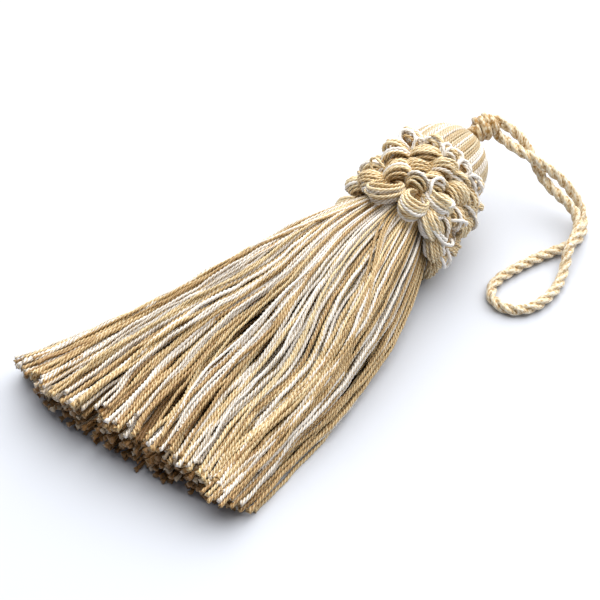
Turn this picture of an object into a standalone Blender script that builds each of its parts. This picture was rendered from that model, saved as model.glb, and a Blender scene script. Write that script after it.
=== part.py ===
"""A key tassel lying on a table: a skirt of cut yarn locks, a ruff of looped yarns round a
wound head, a knot, and a twisted hanging cord that ends in a loop."""
import random
from math import asin, atan2, cos, pi, radians, sin, sqrt

import bmesh
import bpy
from mathutils import Matrix, Vector

MM = 0.001

# ---- Driving dimensions -----------------------------------------------------------------
CLEARANCE = 0.3 * MM             # between pieces that touch

# The origin is the flat spot under the ruff. The skirt points along -X, the head along +X.
AXIS_PITCH = radians(11)         # the head's end points up by this much
AXIS_TURN = radians(6)           # and towards +Y by this much
RUFF_CENTRE = Vector((3.3, 0.3, 13.4)) * MM

RUFF_LENGTH = 19.8 * MM
RUFF_MID_RADIUS = 13.3 * MM
RUFF_SKIRT_RADIUS = 11.8 * MM    # of its rim at the skirt
RUFF_HEAD_RADIUS = 11.0 * MM     # of its rim at the head
RUFF_ROWS = 5                    # rows of loops, from the skirt to the head
RUFF_LOOPS = 14                  # loops in each row
RUFF_LOOP_HEIGHT = 1.4 * MM
LOOP_STEPS = 4                   # mesh steps across one loop
RUFF_BACK_STEPS = 4              # mesh steps along the wall that lies on the head

HEAD_RADIUS = 10.3 * MM
HEAD_RIBS = 32                   # bundles of wound yarn, raised lengthwise
HEAD_RIB_HEIGHT = 0.5 * MM

KNOT_CENTRE = Vector((29.4, 1.1, 19.0)) * MM
KNOT_HALF_LENGTH = 3.5 * MM
KNOT_RADIUS = 3.3 * MM
KNOT_WRAP_PITCH = 3.2 * MM
KNOT_WRAP_HEIGHT = 0.5 * MM
KNOT_TURN = radians(-25)         # the knot leans to the side on which the cord falls

LOCKS_ACROSS = 26
LOCKS_UP = 8
ROOT_RADIUS = 9.6 * MM           # at its sides; its corners reach a little further
ROOT_ROUNDNESS = 0.42            # 0 is a square, 0.5 a circle
ROOT_PLACE = -9.0 * MM           # of the root's face, along the axis
ROOT_DEPTH = 3.5 * MM            # of the bound root inside the ruff
SKIRT_FRONT_LENGTH = 74.0 * MM   # of the locks along the fan's -Y edge
SKIRT_BACK_LENGTH = 78.0 * MM    # and along its +Y edge
SKIRT_FRONT_EDGE = -25.3 * MM    # y of the fan's edges at the cut end
SKIRT_BACK_EDGE = 38.7 * MM
SKIRT_HEIGHT = 12.0 * MM         # of the cut end, at the middle of the fan
SKIRT_EDGE_HEIGHT = 0.5          # of the cut end at its sides, as a share of that
SKIRT_TOP_WIDTH = 0.92           # of the cut end's top layer, as a share of the bottom one
SKIRT_FLARE = 0.5                # how far the locks lean outwards as they leave the root
FRONT_EDGE_TURN = radians(-3)    # direction of the fan's edges at the cut end
BACK_EDGE_TURN = radians(22)
START_HANDLE = 0.3               # stiffness of a lock at its root, share of its length
END_HANDLE = 0.36                # and at its cut end
LOCK_STATIONS = (0.06, 0.2, 0.42, 0.7, 1.0)   # shares of a lock's length
LOCK_GAP_SHARE = 0.28            # of a lock's own space left empty
LOCK_DRIFT = 0.06                # of a lock's tip inside its own space
LOCK_LENGTH_SPREAD = 1.8 * MM    # longer or shorter than the skirt
UNDERSIDE_SHORTER = 2.0 * MM     # the locks that lie on the table
LOCK_SEED = 11                   # for the uneven lengths and places of the tips

CORD_DIAMETER = 2.6 * MM
CORD_PLIES = 3
CORD_PLY_PITCH = 9.0 * MM        # length in which one ply goes once round
CORD_STEPS_PER_TURN = 8
CORD_GROOVE = 0.78               # radius between two plies, as a share of the cord's
FINE_STEPS = 12                  # of the smooth route between two of its points

# The head's profile from its seat inside the ruff to its neck, mm:
# along the axis, radius
HEAD_SECTIONS = (
    (-5.2, 0.0),
    (-5.2, 9.2),
    (-4.2, 10.3),
    (2.0, 10.3),
    (8.0, 10.3),
    (11.5, 10.3),
    (14.5, 9.9),
    (17.0, 8.9),
    (19.1, 7.2),
    (20.7, 5.3),
    (21.8, 3.6),
    (22.6, 2.4),
    (22.6, 0.0),
)

# The cord's route, mm: x, y, z
CORD_ROUTE = (
    (33.2, -1.1, 19.2),    # leaves the knot, upper run
    (33.9, -2.8, 18.3),
    (34.4, -5.4, 17.0),
    (34.6, -7.8, 14.8),
    (34.3, -10.2, 12.4),   # passes under the other run
    (33.3, -13.0, 10.6),
    (32.6, -16.2, 9.2),
    (32.7, -19.2, 7.9),
    (33.0, -22.0, 6.4),
    (32.3, -24.4, 5.1),
    (30.1, -26.4, 4.3),
    (26.7, -27.7, 4.1),    # passes over the other run
    (23.5, -28.6, 3.9),
    (20.5, -30.0, 2.5),
    (17.2, -31.4, 1.5),    # comes down on the table
    (13.3, -32.5, 1.4),
    (9.2, -32.7, 1.4),
    (5.3, -32.0, 1.4),
    (2.4, -30.0, 1.4),
    (1.1, -27.1, 1.4),
    (1.7, -24.1, 1.4),     # far end of the loop
    (4.1, -22.0, 1.4),
    (7.7, -21.4, 1.4),
    (12.3, -22.1, 1.4),
    (16.9, -23.2, 1.4),
    (21.0, -24.5, 1.4),
    (24.9, -26.0, 1.4),    # passes under the first run
    (29.1, -27.0, 1.4),
    (32.9, -26.1, 1.6),
    (35.5, -24.2, 2.8),    # lifts off the table
    (36.5, -22.1, 5.0),
    (36.2, -19.6, 7.8),
    (35.1, -17.0, 10.6),
    (33.5, -14.4, 13.0),
    (32.2, -11.5, 14.8),   # passes over the other run
    (31.6, -8.2, 15.6),
    (31.6, -5.1, 16.0),
    (31.3, -2.4, 16.9),    # back at the knot, lower run
)

# Points of the pieces on the axis are held as (along it to the head, across, up).
AXIS_FRAME = (Matrix.Translation(RUFF_CENTRE) @ Matrix.Rotation(AXIS_TURN, 4, 'Z')
              @ Matrix.Rotation(-AXIS_PITCH, 4, 'Y'))


# ---- Scene, materials and shared steps --------------------------------------------------
def clear_scene():
    for obj in list(bpy.data.objects):
        bpy.data.objects.remove(obj, do_unlink=True)


def new_collection(name):
    collection = bpy.data.collections.new(name)
    bpy.context.scene.collection.children.link(collection)
    return collection


def move_to(obj, collection):
    for old in list(obj.users_collection):
        old.objects.unlink(obj)
    collection.objects.link(obj)


def give_material(obj, name, colour, roughness):
    material = bpy.data.materials.new(name)
    material.use_nodes = True
    shader = material.node_tree.nodes["Principled BSDF"]
    shader.inputs["Base Color"].default_value = (*colour, 1.0)
    shader.inputs["Roughness"].default_value = roughness
    shader.inputs["Metallic"].default_value = 0.0
    obj.data.materials.clear()
    obj.data.materials.append(material)


def take_new_mesh(name, collection):
    obj = bpy.context.active_object
    obj.name = name
    obj.data.name = name
    move_to(obj, collection)
    return obj


def between(low, high, share):
    return low + (high - low) * share


def smooth_step(t):
    t = min(max(t, 0.0), 1.0)
    return t * t * (3 - 2 * t)


# ---- Head: a turned mould wound lengthwise with fine yarn -------------------------------
def make_head(collection):
    bpy.ops.mesh.primitive_uv_sphere_add(segments=2 * HEAD_RIBS, ring_count=len(HEAD_SECTIONS) - 1)
    head = take_new_mesh("head", collection)
    last_row = len(HEAD_SECTIONS) - 1
    for vertex in head.data.vertices:
        x, y, z = vertex.co
        row = round((asin(max(-1.0, min(1.0, z))) / pi + 0.5) * last_row)
        turn = atan2(y, x)
        along, radius = HEAD_SECTIONS[row]
        rib = round(turn / pi * HEAD_RIBS) % 2
        radius = radius * MM - rib * HEAD_RIB_HEIGHT * radius * MM / HEAD_RADIUS
        vertex.co = (along * MM, radius * cos(turn), radius * sin(turn))
    head.matrix_world = AXIS_FRAME
    face_outwards(head)
    give_material(head, "head_yarn", (0.68, 0.52, 0.32), 0.6)
    head.data.shade_smooth()


def face_outwards(obj):
    shape = bmesh.new()
    shape.from_mesh(obj.data)
    bmesh.ops.recalc_face_normals(shape, faces=shape.faces)
    shape.to_mesh(obj.data)
    shape.free()


# ---- Ruff: a ring of yarn loops in staggered rows round the head ------------------------
def ruff_point(turn_step, section_step):
    """Point of the ring's section, in steps round the tassel and along the section."""
    turn = 2 * pi * turn_step / (RUFF_LOOPS * LOOP_STEPS)
    outer_steps = RUFF_ROWS * LOOP_STEPS
    wall_radius = HEAD_RADIUS + CLEARANCE
    if section_step <= outer_steps:
        sweep = pi * section_step / outer_steps
        along = -cos(sweep) * RUFF_LENGTH / 2
        rim_radius = RUFF_SKIRT_RADIUS if sweep < pi / 2 else RUFF_HEAD_RADIUS
        radius = between(rim_radius, RUFF_MID_RADIUS, sin(sweep) ** 0.8)
        row = int(section_step / LOOP_STEPS)
        stagger = LOOP_STEPS / 2 if row % 2 else 0
        along_loop = section_step % LOOP_STEPS
        round_loop = (turn_step + stagger) % LOOP_STEPS
        raised = sin(pi * along_loop / LOOP_STEPS) * sin(pi * round_loop / LOOP_STEPS) ** 0.6
        radius += RUFF_LOOP_HEIGHT * raised
    else:
        share = (section_step - outer_steps) / RUFF_BACK_STEPS
        along = cos(pi * share) * (RUFF_LENGTH / 2 - 1.0 * MM)
        radius = wall_radius
    return Vector((along, radius * cos(turn), radius * sin(turn)))


def make_ruff(collection):
    turn_steps = RUFF_LOOPS * LOOP_STEPS
    section_steps = RUFF_ROWS * LOOP_STEPS + RUFF_BACK_STEPS
    bpy.ops.mesh.primitive_torus_add(major_segments=turn_steps, minor_segments=section_steps,
                                     major_radius=1.0, minor_radius=0.4)
    ruff = take_new_mesh("ruff", collection)
    to_axis = AXIS_FRAME.inverted()
    for vertex in ruff.data.vertices:
        x, y, z = vertex.co
        turn_step = round(atan2(y, x) / (2 * pi) * turn_steps) % turn_steps
        section = atan2(z, sqrt(x * x + y * y) - 1.0)
        section_step = round(section / (2 * pi) * section_steps) % section_steps
        placed = AXIS_FRAME @ ruff_point(turn_step, section_step)
        placed.z = max(placed.z, 0.0)          # the small flat spot on which it lies
        vertex.co = to_axis @ placed
    ruff.matrix_world = AXIS_FRAME
    face_outwards(ruff)
    give_material(ruff, "ruff_yarn", (0.55, 0.38, 0.2), 0.7)
    ruff.data.shade_smooth()


# ---- Skirt: locks of cut yarn fused at their root ---------------------------------------
def root_point(u, v, depth=0.0):
    """Point of the round root; u runs across and v up, both from -1 to 1."""
    across = u * sqrt(1 - ROOT_ROUNDNESS * v * v) * ROOT_RADIUS
    up = v * sqrt(1 - ROOT_ROUNDNESS * u * u) * ROOT_RADIUS
    return AXIS_FRAME @ Vector((ROOT_PLACE + depth, across, up))


def lock_length(u):
    return between(SKIRT_FRONT_LENGTH, SKIRT_BACK_LENGTH, (u + 1) / 2)


def end_point(u, v, root):
    """Point of the fan's cut end, level on the table."""
    lowest = -1 + LOCK_GAP_SHARE / LOCKS_UP
    rise = max(0.0, v - lowest) / (1 - lowest)
    half_width = (SKIRT_BACK_EDGE - SKIRT_FRONT_EDGE) / 2
    narrowed = between(1.0, SKIRT_TOP_WIDTH, rise ** 2)
    y = SKIRT_FRONT_EDGE + half_width * (1 + u * narrowed)
    z = SKIRT_HEIGHT * between(1.0, SKIRT_EDGE_HEIGHT, abs(u) ** 2.2) * rise
    reach = sqrt(lock_length(u) ** 2 - (y - root.y) ** 2 - (z - root.z) ** 2)
    return Vector((root.x - reach, y, z))


def lock_point(u, v, share):
    """Point a share of the way along the lock that starts at (u, v)."""
    root = root_point(u, v)
    end = end_point(u, v, root)
    outwards = (root - root_point(0, 0)) * (SKIRT_FLARE / ROOT_RADIUS)
    start_turn = outwards + AXIS_FRAME.to_3x3() @ Vector((-1, 0, 0))
    turn = between(FRONT_EDGE_TURN, BACK_EDGE_TURN, (u + 1) / 2)
    start_handle = root + start_turn * lock_length(u) * START_HANDLE
    end_handle = end + Vector((cos(turn), -sin(turn), 0)) * lock_length(u) * END_HANDLE
    start_handle.z = max(start_handle.z, end.z)
    return ((1 - share) ** 3 * root + 3 * (1 - share) ** 2 * share * start_handle
            + 3 * (1 - share) * share ** 2 * end_handle + share ** 3 * end)


def lock_chances():
    """Uneven places and lengths, one for each lock, by its cell in the root's grid."""
    chance = random.Random(LOCK_SEED)
    uneven = {}
    for column in range(LOCKS_ACROSS):
        for row in range(LOCKS_UP):
            drift_u = chance.uniform(-1, 1) * LOCK_DRIFT / LOCKS_ACROSS
            drift_v = chance.uniform(-1, 1) * LOCK_DRIFT / LOCKS_UP if row else 0.0
            longer = chance.uniform(-1, 1) * LOCK_LENGTH_SPREAD
            if row == 0:
                longer -= UNDERSIDE_SHORTER
            uneven[column, row] = (drift_u, drift_v, longer)
    return uneven


def make_skirt(collection):
    shape = bmesh.new()
    # Until it is shaped, a vertex holds (u, v, station); the root's two sides are -1 and 0.
    bmesh.ops.create_grid(shape, x_segments=LOCKS_ACROSS, y_segments=LOCKS_UP, size=1.0)
    grown = bmesh.ops.extrude_face_region(shape, geom=list(shape.faces))["geom"]
    tips = [item for item in grown if isinstance(item, bmesh.types.BMFace)]
    front = {vertex for face in tips for vertex in face.verts}
    for vertex in shape.verts:
        vertex.co.z = 0 if vertex in front else -1
    for station in range(1, len(LOCK_STATIONS) + 1):
        tips = bmesh.ops.extrude_discrete_faces(shape, faces=tips)["faces"]
        kept = 1 - LOCK_GAP_SHARE if station == 1 else 1.0
        for face in tips:
            middle = face.calc_center_median()
            for vertex in face.verts:
                vertex.co = middle + (vertex.co - middle) * kept
                vertex.co.z = station

    bmesh.ops.recalc_face_normals(shape, faces=shape.faces)
    bmesh.ops.reverse_faces(shape, faces=shape.faces)   # shaping it turns it inside out
    uneven = lock_chances()
    for vertex in shape.verts:
        u, v, station = vertex.co
        station = round(station)
        if station < 1:
            vertex.co = root_point(u, v, ROOT_DEPTH if station < 0 else 0.0)
            continue
        cell = (int((u + 1) / 2 * LOCKS_ACROSS), int((v + 1) / 2 * LOCKS_UP))
        drift_u, drift_v, longer = uneven[cell]
        share = LOCK_STATIONS[station - 1]
        place = lock_point(u + drift_u * share, v + drift_v * share, share)
        if share == 1.0:
            before = lock_point(u, v, LOCK_STATIONS[-2])
            along = (place - before).normalized() * longer
            along.z = 0.0
            place += along
        vertex.co = place

    mesh = bpy.data.meshes.new("skirt")
    shape.to_mesh(mesh)
    shape.free()
    skirt = bpy.data.objects.new("skirt", mesh)
    collection.objects.link(skirt)
    give_material(skirt, "skirt_yarn", (0.6, 0.43, 0.24), 0.6)


# ---- Knot: the cord's turns round the neck of the head ----------------------------------
def make_knot(collection):
    bpy.ops.mesh.primitive_uv_sphere_add(segments=24, ring_count=14)
    knot = take_new_mesh("knot", collection)
    for vertex in knot.data.vertices:
        x, y, z = vertex.co
        turn = atan2(y, x)
        wrap = cos(turn - 2 * pi * z * KNOT_HALF_LENGTH / KNOT_WRAP_PITCH)
        girth = sqrt(max(0.0, 1 - z * z)) ** 0.7
        radius = (KNOT_RADIUS - KNOT_WRAP_HEIGHT * (1 - wrap) / 2) * girth
        vertex.co = (z * KNOT_HALF_LENGTH, radius * cos(turn), radius * sin(turn))
    lean = Matrix.Rotation(KNOT_TURN, 4, 'Z') @ Matrix.Rotation(-AXIS_PITCH, 4, 'Y')
    knot.matrix_world = Matrix.Translation(KNOT_CENTRE) @ lean
    face_outwards(knot)
    give_material(knot, "knot_yarn", (0.66, 0.47, 0.28), 0.7)
    knot.data.shade_smooth()


# ---- Cord: one twisted cord, doubled, from the knot round its loop and back -------------
def smooth_route(rows):
    """A smooth curve through the route's points, with points close together."""
    points = [Vector(row) * MM for row in rows]
    points = [2 * points[0] - points[1]] + points + [2 * points[-1] - points[-2]]
    fine = []
    for first, start, end, last in zip(points, points[1:], points[2:], points[3:]):
        for step in range(FINE_STEPS):
            t = step / FINE_STEPS
            fine.append(0.5 * (2 * start + (end - first) * t
                               + (2 * first - 5 * start + 4 * end - last) * t ** 2
                               + (3 * start - first - 3 * end + last) * t ** 3))
    fine.append(points[-2])
    return fine


def even_points(fine, spacing):
    """Points at an even distance along a curve, with its length."""
    lengths = [0.0]
    for start, end in zip(fine, fine[1:]):
        lengths.append(lengths[-1] + (end - start).length)
    count = round(lengths[-1] / spacing)
    even = []
    index = 0
    for step in range(count + 1):
        goal = lengths[-1] * step / count
        while index < len(fine) - 2 and lengths[index + 1] < goal:
            index += 1
        share = (goal - lengths[index]) / (lengths[index + 1] - lengths[index])
        even.append(fine[index].lerp(fine[index + 1], share))
    return even


def new_curve(name, collection, points, cyclic):
    curve = bpy.data.curves.new(name, 'CURVE')
    curve.dimensions = '3D'
    spline = curve.splines.new('POLY')
    spline.points.add(len(points) - 1)
    for point, place in zip(spline.points, points):
        point.co = (*place, 1.0)
    spline.use_cyclic_u = cyclic
    obj = bpy.data.objects.new(name, curve)
    collection.objects.link(obj)
    return obj


def make_cord(collection, guides):
    section_points = []
    for corner in range(2 * CORD_PLIES):
        radius = CORD_DIAMETER / 2 * (CORD_GROOVE if corner % 2 else 1.0)
        turn = -pi * corner / CORD_PLIES
        section_points.append(Vector((radius * cos(turn), radius * sin(turn), 0.0)))
    section = new_curve("cord_section", guides, section_points, cyclic=True)
    section.hide_render = True
    section.display_type = 'WIRE'

    spacing = CORD_PLY_PITCH / CORD_STEPS_PER_TURN
    points = even_points(smooth_route(CORD_ROUTE), spacing)
    cord = new_curve("cord", collection, points, cyclic=False)
    for step, point in enumerate(cord.data.splines[0].points):
        point.tilt = -2 * pi * step / CORD_STEPS_PER_TURN
    cord.data.bevel_mode = 'OBJECT'
    cord.data.bevel_object = section
    cord.data.use_fill_caps = True
    give_material(cord, "hanging_cord", (0.7, 0.52, 0.33), 0.7)


clear_scene()
tassel = new_collection("tassel")
guides = new_collection("guides")
make_head(tassel)
make_ruff(tassel)
make_skirt(tassel)
make_knot(tassel)
make_cord(tassel, guides)
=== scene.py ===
"""Looks for the key tassel: a skirt of cut yarns, a ruff of looped yarns round a wound
head, a knot and a twisted hanging cord."""
from math import cos, pi, radians, sin

import bpy
import numpy as np
from mathutils import Matrix, Vector


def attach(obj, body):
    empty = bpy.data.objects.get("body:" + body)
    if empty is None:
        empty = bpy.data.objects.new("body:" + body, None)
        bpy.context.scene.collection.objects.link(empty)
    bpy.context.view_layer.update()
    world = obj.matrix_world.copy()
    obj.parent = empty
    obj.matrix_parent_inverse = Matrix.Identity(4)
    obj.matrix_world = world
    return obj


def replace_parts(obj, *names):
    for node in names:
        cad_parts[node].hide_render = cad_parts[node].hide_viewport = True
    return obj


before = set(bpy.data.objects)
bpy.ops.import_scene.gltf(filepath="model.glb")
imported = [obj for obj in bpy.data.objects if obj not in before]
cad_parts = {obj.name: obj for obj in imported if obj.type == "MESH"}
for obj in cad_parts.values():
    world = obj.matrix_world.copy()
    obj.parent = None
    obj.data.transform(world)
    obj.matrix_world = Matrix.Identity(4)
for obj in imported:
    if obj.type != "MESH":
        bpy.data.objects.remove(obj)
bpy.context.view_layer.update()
MM = 0.001

# ---- Camera ----
# Looks down on the tassel from beyond its cut end, 45 degrees above the table.
CAMERA_TARGET = Vector((-31.5, 2.5, 8.0)) * MM
CAMERA_AZIMUTH = radians(-48.15)
CAMERA_ELEVATION = radians(45)
CAMERA_DISTANCE = 320 * MM
CAMERA_SENSOR = 36.0  # mm
CAMERA_LENS = 90.9  # mm
CAMERA_NEAREST = 10 * MM  # nothing closer than this is drawn

camera_back = Vector((sin(CAMERA_AZIMUTH) * cos(CAMERA_ELEVATION),
                      -cos(CAMERA_AZIMUTH) * cos(CAMERA_ELEVATION), sin(CAMERA_ELEVATION)))
camera = bpy.data.objects.new("camera", bpy.data.cameras.new("camera"))
camera.data.sensor_width = CAMERA_SENSOR
camera.data.lens = CAMERA_LENS
camera.data.clip_start = CAMERA_NEAREST
camera.location = CAMERA_TARGET + camera_back * CAMERA_DISTANCE
camera.rotation_euler = (-camera_back).to_track_quat('-Z', 'Y').to_euler()
bpy.context.scene.collection.objects.link(camera)
bpy.context.scene.camera = camera

# ---- Hanging cord ----
# A rope of three strands of cotton and viscose yarn, laid right-handed. It leaves the knot,
# goes round its loop on the table and comes back to the knot, and its two runs cross twice.
CORD_DIAMETER = 2.6 * MM
PLIES = 3  # strands in the rope, yarns in a strand and plies in a yarn
CORD_LAY = 9.0 * MM  # length in which one strand goes once round
STRAND_LAY = 3.6 * MM  # length in which one yarn goes once round its strand
STRAND_COLUMNS = 8  # mesh columns across a strand
STRAND_FULLNESS = 1.08  # the strands are pressed into each other by this
STRAND_GROOVE = 0.17  # depth of the grooves between a strand's yarns, as a share
STRAND_SLANT = 2.6  # how far those grooves slant across a strand
ROPE_RING_GAP = 0.25 * MM  # between the rings of its mesh
YARN_UV_SHIFT = 61.0 * MM  # each yarn's pattern starts this much later than the last
CORD_ROUTE = (
    # leaves the knot, upper run
    (33.2, -1.1, 19.2), (33.9, -2.8, 18.3), (34.4, -5.4, 17.0), (34.6, -7.8, 14.8),
    # passes under the other run
    (34.3, -10.2, 12.4), (33.3, -13.0, 10.6), (32.6, -16.2, 9.2), (32.7, -19.2, 7.9),
    (33.0, -22.0, 6.4), (32.3, -24.4, 5.1), (30.1, -26.4, 4.3),
    # passes over the other run
    (26.7, -27.7, 4.1), (23.5, -28.6, 3.9), (20.5, -30.0, 2.5),
    # comes down on the table
    (17.2, -31.4, 1.5), (13.3, -32.5, 1.4), (9.2, -32.7, 1.4), (5.3, -32.0, 1.4),
    (2.4, -30.0, 1.4), (1.1, -27.1, 1.4),
    # far end of the loop
    (1.7, -24.1, 1.4), (4.1, -22.0, 1.4), (7.7, -21.4, 1.4), (12.3, -22.1, 1.4),
    (16.9, -23.2, 1.4), (21.0, -24.5, 1.4),
    # passes under the first run
    (24.9, -26.0, 1.4), (29.1, -27.0, 1.4), (32.9, -26.1, 1.6),
    # lifts off the table
    (35.5, -24.2, 2.8), (36.5, -22.1, 5.0), (36.2, -19.6, 7.8), (35.1, -17.0, 10.6),
    (33.5, -14.4, 13.0),
    # passes over the other run
    (32.2, -11.5, 14.8), (31.6, -8.2, 15.6), (31.6, -5.1, 16.0),
    # back at the knot, lower run
    (31.3, -2.4, 16.9),
)


def smooth_route(rows, steps=12):
    """A smooth curve through rows in mm, as points in metres, this many to each row."""
    points = np.array(rows) * MM
    points = np.vstack([2 * points[0] - points[1], points, 2 * points[-1] - points[-2]])
    t = (np.arange(steps) / steps)[:, None]
    fine = [0.5 * (2 * b + (c - a) * t + (2 * a - 5 * b + 4 * c - d) * t ** 2
                   + (3 * b - a - 3 * c + d) * t ** 3)
            for a, b, c, d in zip(points, points[1:], points[2:], points[3:])]
    return np.vstack([*fine, points[-2]])


def distances(line):
    """How far along the line each of its points is."""
    return np.concatenate([[0.0], np.cumsum(np.linalg.norm(np.diff(line, axis=0), axis=1))])


def points_at(line, far, goals):
    """Points on the line at these distances, where far holds those of its own points."""
    return np.stack([np.interp(goals, far, line[:, k]) for k in range(3)], 1)


def even_line(line, count):
    """The same line as count points at even distances."""
    far = distances(line)
    return points_at(line, far, np.linspace(0.0, far[-1], count))


def unit(vectors):
    """The same directions, each with a length of 1."""
    return vectors / np.linalg.norm(vectors, axis=-1, keepdims=True)


def frames_along(lines):
    """Two directions across each line at each of its points, carried along without twist."""
    ahead = unit(np.gradient(lines, axis=1))
    side = np.cross(ahead[:, 0], (0.0, 0.0, 1.0)) + (1e-6, 0.0, 0.0)
    sides = np.empty_like(lines)
    for step in range(lines.shape[1]):
        side = unit(side - ahead[:, step] * np.sum(side * ahead[:, step], 1, keepdims=True))
        sides[:, step] = side
    return sides, np.cross(ahead, sides)


def yarn_mesh(name, parts, material):
    """One mesh of many yarns. Each part is (vertices, far, shade), with a shade for each
    yarn, ring or vertex: its own tone, with any painted shade. The UV map holds the way
    round a yarn and the distance along it in mm."""
    points, faces, around, shades = [], [], [], []
    ends, end_uvs = [], []
    offset = 0
    for vertices, far, shade in parts:
        yarns, rings, columns = vertices.shape[:3]
        far = far + YARN_UV_SHIFT * np.arange(1, yarns + 1)[:, None]
        index = offset + np.arange(yarns * rings * columns).reshape(yarns, rings, columns)
        after = np.roll(index, -1, axis=2)
        faces.append(np.stack([index[:, :-1], after[:, :-1], after[:, 1:], index[:, 1:]],
                              -1).reshape(-1, 4))
        u = np.arange(columns) / columns
        low = np.broadcast_to(far[:, :-1, None] / MM, index[:, 1:].shape)
        high = np.broadcast_to(far[:, 1:, None] / MM, index[:, 1:].shape)
        left = np.broadcast_to(u, low.shape)
        right = left + 1 / columns
        around.append(np.stack([left, low, right, low, right, high, left, high],
                               -1).reshape(-1, 2))
        for cap, place in ((index[:, 0, ::-1], far[:, 0]), (index[:, -1], far[:, -1])):
            ends.append(cap)
            end_uvs.append(np.stack([np.broadcast_to(u, cap.shape),
                                     np.broadcast_to(place[:, None] / MM, cap.shape)],
                                    -1).reshape(-1, 2))
        points.append(vertices.reshape(-1, 3))
        shade = np.reshape(shade, np.shape(shade) + (1,) * (3 - np.ndim(shade)))
        shades.append(np.broadcast_to(shade, (yarns, rings, columns)).ravel())
        offset += yarns * rings * columns
    quads = np.vstack(faces)
    loops = np.concatenate([quads.ravel(), *(cap.ravel() for cap in ends)])
    sizes = np.concatenate([np.full(len(quads), 4),
                            *(np.full(len(cap), cap.shape[1]) for cap in ends)])
    mesh = bpy.data.meshes.new(name)
    mesh.vertices.add(offset)
    mesh.vertices.foreach_set("co", np.vstack(points).astype(np.float32).ravel())
    mesh.loops.add(len(loops))
    mesh.loops.foreach_set("vertex_index", loops.astype(np.int32))
    mesh.polygons.add(len(sizes))
    mesh.polygons.foreach_set("loop_start",
                              np.concatenate([[0], np.cumsum(sizes)[:-1]]).astype(np.int32))
    mesh.update(calc_edges=True)
    layer = mesh.uv_layers.new(name="yarn_uv")
    layer.uv.foreach_set("vector", np.vstack([*around, *end_uvs]).astype(np.float32).ravel())
    attribute = mesh.attributes.new("shade", 'FLOAT', 'POINT')
    attribute.data.foreach_set("value", np.concatenate(shades).astype(np.float32))
    mesh.shade_smooth()
    mesh.materials.append(material)
    piece = bpy.data.objects.new(name, mesh)
    bpy.context.scene.collection.objects.link(piece)
    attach(piece, "root")
    return piece


def linear(code):
    """A colour written as sRGB hex, as Blender's linear colour."""
    values = [int(code[k:k + 2], 16) / 255 for k in (1, 3, 5)]
    return (*(v / 12.92 if v <= 0.04045 else ((v + 0.055) / 1.055) ** 2.4 for v in values), 1.0)


def add_node(tree, kind, settings=(), inputs=(), links=()):
    """Adds a node with its settings, its input values and the links into it."""
    node = tree.nodes.new(kind)
    for key, value in dict(settings).items():
        setattr(node, key, value)
    for key, value in dict(inputs).items():
        node.inputs[key].default_value = value
    for key, source in dict(links).items():
        tree.links.new(source, node.inputs[key])
    return node


def yarn_finish(name, groove, body, ridge, fibre_rows=9, along=1.1, ply_light_and_shade=0.3, speckle=0.95,
                roughness=0.5):
    """Spun yarn: streaks of fibre along each ply, a painted highlight on the crests of the
    plies and painted shade in the grooves between them, and a soft sheen. fibre_rows are the
    streaks round a yarn and along their number in a mm. Real fibres are 0.02 mm thick, so the
    streaks are drawn 0.3 mm wide on a yarn and 0.5 mm on the rope, to show. The argument
    after along sets how strong that painted ply light and shade is, and speckle how much the
    streaks change the colour."""
    fibre_relief = 0.1 * MM
    material = bpy.data.materials.new(name)
    material.use_nodes = True
    tree = material.node_tree
    shader = tree.nodes["Principled BSDF"]
    uv = add_node(tree, 'ShaderNodeUVMap', {"uv_map": "yarn_uv"})
    streaks = add_node(tree, 'ShaderNodeMapping', inputs={"Scale": (fibre_rows, along, 1.0)},
                       links={"Vector": uv.outputs["UV"]})
    fibres = add_node(tree, 'ShaderNodeTexNoise', inputs={"Scale": 1.0, "Detail": 3.0},
                      links={"Vector": streaks.outputs["Vector"]})
    # The mesh's shade: each yarn's own tone, plus painted shade where the yarn lies deep, under
    # others or in a groove.
    shade = add_node(tree, 'ShaderNodeAttribute', {"attribute_name": "shade"})
    around = add_node(tree, 'ShaderNodeSeparateXYZ', links={"Vector": uv.outputs["UV"]})
    # Painted ply light and shade: lighter on the crest of each ply, darker in the grooves between
    # them.
    phase = add_node(tree, 'ShaderNodeMath', {"operation": 'MULTIPLY'},
                     {1: 2 * pi * PLIES}, {0: around.outputs["X"]})
    crest = add_node(tree, 'ShaderNodeMath', {"operation": 'COSINE'},
                     links={0: phase.outputs["Value"]})
    height = add_node(tree, 'ShaderNodeMath', {"operation": 'MULTIPLY_ADD'},
                      {1: ply_light_and_shade, 2: 0.5 - 0.5 * speckle}, {0: crest.outputs["Value"]})
    spun = add_node(tree, 'ShaderNodeMath', {"operation": 'MULTIPLY_ADD'}, {1: speckle},
                    {0: fibres.outputs["Fac"], 2: height.outputs["Value"]})
    tone = add_node(tree, 'ShaderNodeMath', {"operation": 'ADD', "use_clamp": True},
                    links={0: spun.outputs["Value"], 1: shade.outputs["Fac"]})
    ramp = add_node(tree, 'ShaderNodeValToRGB', links={"Fac": tone.outputs["Value"]})
    ramp.color_ramp.elements[0].position = 0.1
    ramp.color_ramp.elements[0].color = linear(groove)
    ramp.color_ramp.elements[1].position = 0.9
    ramp.color_ramp.elements[1].color = linear(ridge)
    ramp.color_ramp.elements.new(0.5).color = linear(body)
    tree.links.new(ramp.outputs["Color"], shader.inputs["Base Color"])
    bump = add_node(tree, 'ShaderNodeBump', inputs={"Strength": 0.55, "Distance": fibre_relief},
                    links={"Height": fibres.outputs["Fac"]})
    tree.links.new(bump.outputs["Normal"], shader.inputs["Normal"])
    shader.inputs["Roughness"].default_value = roughness
    shader.inputs["Sheen Weight"].default_value = 0.3
    shader.inputs["Sheen Roughness"].default_value = 0.5
    shader.inputs["Sheen Tint"].default_value = linear(ridge)
    return material


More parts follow.
